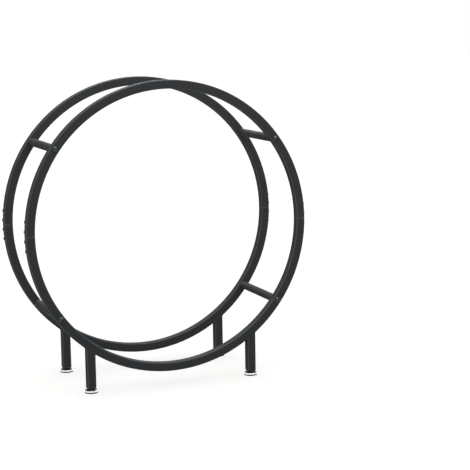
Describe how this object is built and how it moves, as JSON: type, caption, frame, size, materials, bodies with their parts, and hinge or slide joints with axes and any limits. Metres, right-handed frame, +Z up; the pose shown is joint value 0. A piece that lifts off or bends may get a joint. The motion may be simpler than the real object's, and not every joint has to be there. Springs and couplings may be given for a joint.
{
  "type": "firewood log rack",
  "caption": "Round firewood rack: bolted hoops of black square steel tube, held apart by round crossbars, on short legs with levelling feet.",
  "frame": {"origin": "on the floor under the middle of the rack, at the bottom centre of its bounding box", "axes": "+X to the right seen from the front, +Y from the front hoop to the rear hoop, +Z up"},
  "size_m": [1.0092, 0.366, 1.048],
  "materials": {
    "powder_coat": "black powder coat, satin with a fine texture",
    "black_screws": "black oxide on steel, semi-gloss",
    "zinc_plate": "bright zinc plate",
    "nickel_plate": "nickel plate, polished",
    "black_plastic": "moulded black nylon"
  },
  "bodies": {
    "frame": {"front_hoop_upper": "powder_coat", "front_hoop_lower": "powder_coat", "rear_hoop_upper": "powder_coat", "rear_hoop_lower": "powder_coat", "joint_sleeve_front_left": "zinc_plate", "joint_sleeve_front_right": "zinc_plate", "joint_sleeve_rear_left": "zinc_plate", "joint_sleeve_rear_right": "zinc_plate", "joint_bolt_front_left_1": "black_screws", "joint_bolt_front_left_2": "black_screws", "joint_bolt_front_left_3": "black_screws", "joint_bolt_front_left_4": "black_screws", "joint_bolt_front_right_1": "black_screws", "joint_bolt_front_right_2": "black_screws", "joint_bolt_front_right_3": "black_screws", "joint_bolt_front_right_4": "black_screws", "joint_bolt_rear_left_1": "black_screws", "joint_bolt_rear_left_2": "black_screws", "joint_bolt_rear_left_3": "black_screws", "joint_bolt_rear_left_4": "black_screws", "joint_bolt_rear_right_1": "black_screws", "joint_bolt_rear_right_2": "black_screws", "joint_bolt_rear_right_3": "black_screws", "joint_bolt_rear_right_4": "black_screws", "crossbar_upper_left": "powder_coat", "crossbar_upper_right": "powder_coat", "crossbar_lower_left": "powder_coat", "crossbar_lower_right": "powder_coat", "crossbar_insert_upper_left_front": "zinc_plate", "crossbar_insert_upper_left_rear": "zinc_plate", "crossbar_insert_upper_right_front": "zinc_plate", "crossbar_insert_upper_right_rear": "zinc_plate", "crossbar_insert_lower_left_front": "zinc_plate", "crossbar_insert_lower_left_rear": "zinc_plate", "crossbar_insert_lower_right_front": "zinc_plate", "crossbar_insert_lower_right_rear": "zinc_plate", "crossbar_screw_upper_left_front": "black_screws", "crossbar_screw_upper_left_rear": "black_screws", "crossbar_screw_upper_right_front": "black_screws", "crossbar_screw_upper_right_rear": "black_screws", "crossbar_screw_lower_left_front": "black_screws", "crossbar_screw_lower_left_rear": "black_screws", "crossbar_screw_lower_right_front": "black_screws", "crossbar_screw_lower_right_rear": "black_screws", "leg_front_left": "powder_coat", "leg_front_right": "powder_coat", "leg_rear_left": "powder_coat", "leg_rear_right": "powder_coat", "leg_plug_front_left": "black_plastic", "leg_plug_front_right": "black_plastic", "leg_plug_rear_left": "black_plastic", "leg_plug_rear_right": "black_plastic"},
    "foot_front_left": {"foot_stud_front_left": "black_plastic", "foot_pad_front_left": "nickel_plate"},
    "foot_front_right": {"foot_stud_front_right": "black_plastic", "foot_pad_front_right": "nickel_plate"},
    "foot_rear_left": {"foot_stud_rear_left": "black_plastic", "foot_pad_rear_left": "nickel_plate"},
    "foot_rear_right": {"foot_stud_rear_right": "black_plastic", "foot_pad_rear_right": "nickel_plate"}
  },
  "joints": [
    {"name": "foot_height_front_left", "type": "slide", "parent": "frame", "child": "foot_front_left", "axis": [0, 0, -1], "range_m": [0, 0.015]},
    {"name": "foot_height_front_right", "type": "slide", "parent": "frame", "child": "foot_front_right", "axis": [0, 0, -1], "range_m": [0, 0.015]},
    {"name": "foot_height_rear_left", "type": "slide", "parent": "frame", "child": "foot_rear_left", "axis": [0, 0, -1], "range_m": [0, 0.015]},
    {"name": "foot_height_rear_right", "type": "slide", "parent": "frame", "child": "foot_rear_right", "axis": [0, 0, -1], "range_m": [0, 0.015]}
  ]
}
